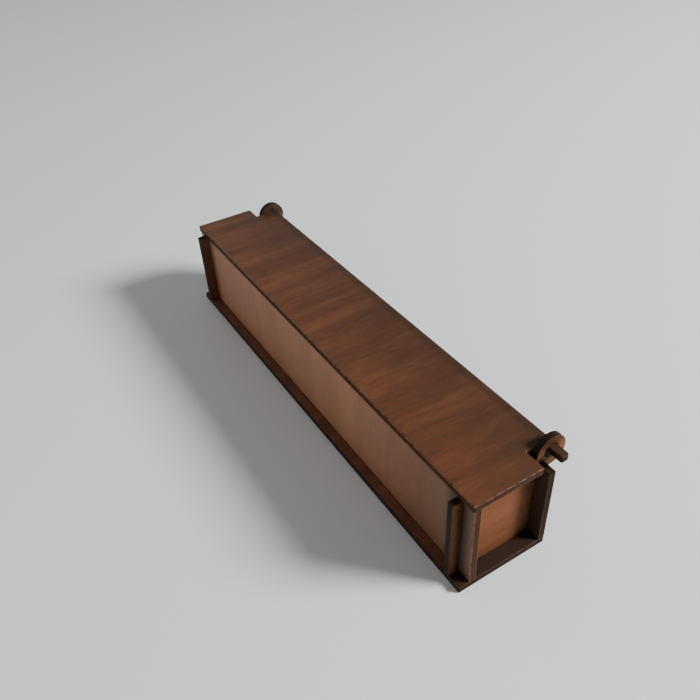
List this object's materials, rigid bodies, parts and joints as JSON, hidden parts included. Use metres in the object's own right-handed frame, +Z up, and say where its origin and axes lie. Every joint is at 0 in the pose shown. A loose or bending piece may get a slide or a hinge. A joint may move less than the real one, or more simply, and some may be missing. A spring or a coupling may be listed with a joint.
{
  "type": "hinged plywood box",
  "caption": "Long slim wooden box of interlocking laser-cut panels, with a lid that swings on tabs held in round ears.",
  "frame": {"origin": "centre of the base's underside, on the surface that the box stands on", "axes": "+X along the box, -Y the front, +Y the hinge side, +Z up"},
  "size_m": [0.24, 0.0523, 0.0508],
  "materials": {
    "lid_veneer": "satin, walnut-stained, grain across the lid",
    "wall_veneer": "satin, walnut-stained",
    "end_veneer": "satin, walnut-stained, warmer and lighter"
  },
  "bodies": {
    "box": {"base": "wall_veneer", "front_wall": "wall_veneer", "back_wall": "wall_veneer", "near_end_wall": "end_veneer", "far_end_wall": "end_veneer"},
    "lid": {"lid": "lid_veneer"}
  },
  "joints": [
    {"name": "lid_hinge", "type": "hinge", "parent": "box", "child": "lid", "pos_m": [0, 0.0242, 0.0442], "axis": [-1, 0, 0], "range_deg": [0, 270]}
  ]
}
